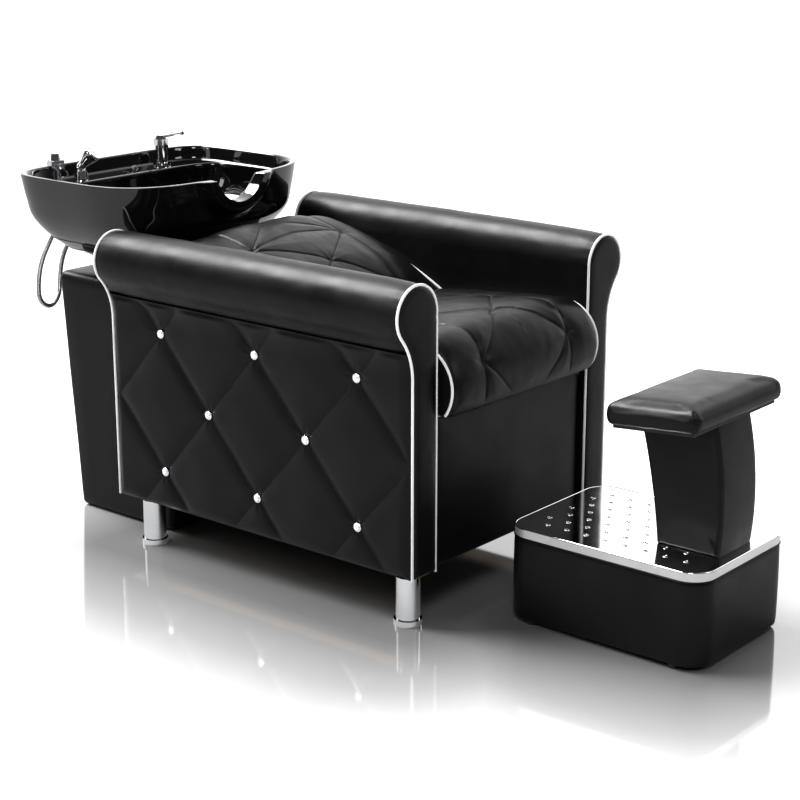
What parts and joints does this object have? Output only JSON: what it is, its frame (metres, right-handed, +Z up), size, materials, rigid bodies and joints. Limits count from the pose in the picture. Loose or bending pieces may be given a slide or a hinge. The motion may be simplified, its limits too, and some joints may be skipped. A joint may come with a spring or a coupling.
{
  "type": "shampoo backwash unit",
  "caption": "Upholstered salon shampoo chair with roll arms, reclined back, tilting ceramic bowl with mixer and handset on a pedestal, and a separate foot box with leg rest.",
  "frame": {"origin": "on the floor, at the centre of the plan of the whole unit, between the rear of the bowl and the front of the foot box", "axes": "+X the way the sitter faces, +Y the sitter's left, +Z up"},
  "size_m": [1.7902, 0.766, 0.8395],
  "materials": {
    "black_vinyl": "satin",
    "white_welt": "satin",
    "crystal": "polished",
    "chrome": "polished",
    "stainless": "polished",
    "zinc_steel": "satin",
    "black_paint": "satin",
    "black_ceramic": "gloss",
    "black_plastic": "matte",
    "black_board": "matte",
    "timber": "matte"
  },
  "bodies": {
    "chair": {"arm_bolts": "zinc_steel", "arm_crystal_buttons": "crystal", "back_bearers": "timber", "back_board": "timber", "back_cushion": "black_vinyl", "back_piping": "white_welt", "front_panel": "black_vinyl", "left_arm_board": "timber", "left_arm_front_facing": "black_vinyl", "left_arm_piping": "white_welt", "left_arm_rear_facing": "black_vinyl", "left_arm_roll": "black_vinyl", "left_arm_tufted_pad": "black_vinyl", "left_front_leg": "chrome", "left_rear_leg": "chrome", "pedestal_front_board": "black_vinyl", "pedestal_left_side": "black_vinyl", "pedestal_plinth": "black_board", "pedestal_rear_panel": "black_vinyl", "pedestal_right_side": "black_vinyl", "pedestal_top": "black_vinyl", "rear_panel_screws": "stainless", "right_arm_board": "timber", "right_arm_front_facing": "black_vinyl", "right_arm_piping": "white_welt", "right_arm_rear_facing": "black_vinyl", "right_arm_roll": "black_vinyl", "right_arm_tufted_pad": "black_vinyl", "right_front_leg": "chrome", "right_rear_leg": "chrome", "seat_board": "timber", "seat_cross_rails": "timber", "seat_cushion": "black_vinyl", "seat_piping": "white_welt", "tilt_base": "black_paint", "tilt_pin": "zinc_steel"},
    "bowl_assembly": {"bowl_cradle": "black_paint", "bowl": "black_ceramic", "drain_flange": "chrome", "drain_tailpiece": "black_plastic", "mixer_body": "chrome", "handset_socket": "chrome", "vacuum_breaker": "chrome", "deck_nuts": "zinc_steel", "spray_hose": "chrome"},
    "mixer_head": {"mixer_head": "chrome"},
    "mixer_lever": {"mixer_lever": "chrome"},
    "handset": {"spray_handset": "chrome"},
    "strainer": {"drain_strainer": "chrome"},
    "foot_rest": {"foot_box_shell": "black_vinyl", "tread_plate": "stainless", "rim_screws": "stainless", "foot_box_glides": "black_plastic", "leg_rest_post": "black_vinyl", "leg_rest_board": "black_board", "leg_rest_pad": "black_vinyl"},
    "right_front_glide": {"right_front_glide": "chrome"},
    "right_rear_glide": {"right_rear_glide": "chrome"},
    "left_front_glide": {"left_front_glide": "chrome"},
    "left_rear_glide": {"left_rear_glide": "chrome"}
  },
  "joints": [
    {"name": "bowl_tilt", "type": "hinge", "parent": "chair", "child": "bowl_assembly", "pos_m": [-0.67, 0, 0.588], "axis": [0, 1, 0], "range_deg": [-10, 3]},
    {"name": "mixer_swivel", "type": "hinge", "parent": "bowl_assembly", "child": "mixer_head", "pos_m": [-0.845, 0.148, 0.8], "axis": [0, 0, 1], "range_deg": [-45, 45]},
    {"name": "mixer_lift", "type": "hinge", "parent": "mixer_head", "child": "mixer_lever", "pos_m": [-0.8635, 0.148, 0.8148], "axis": [0, -1, 0], "range_deg": [0, 22]},
    {"name": "handset_pull", "type": "slide", "parent": "bowl_assembly", "child": "handset", "axis": [0, 0, 1], "range_m": [0, 0.06]},
    {"name": "strainer_lift", "type": "slide", "parent": "bowl_assembly", "child": "strainer", "axis": [0, 0, 1], "range_m": [0, 0.03]},
    {"name": "foot_rest_move", "type": "slide", "parent": "chair", "child": "foot_rest", "axis": [1, 0, 0], "range_m": [-0.05, 0.25]},
    {"name": "right_front_glide_level", "type": "slide", "parent": "chair", "child": "right_front_glide", "axis": [0, 0, -1], "range_m": [0, 0.012]},
    {"name": "right_rear_glide_level", "type": "slide", "parent": "chair", "child": "right_rear_glide", "axis": [0, 0, -1], "range_m": [0, 0.012]},
    {"name": "left_front_glide_level", "type": "slide", "parent": "chair", "child": "left_front_glide", "axis": [0, 0, -1], "range_m": [0, 0.012]},
    {"name": "left_rear_glide_level", "type": "slide", "parent": "chair", "child": "left_rear_glide", "axis": [0, 0, -1], "range_m": [0, 0.012]}
  ]
}
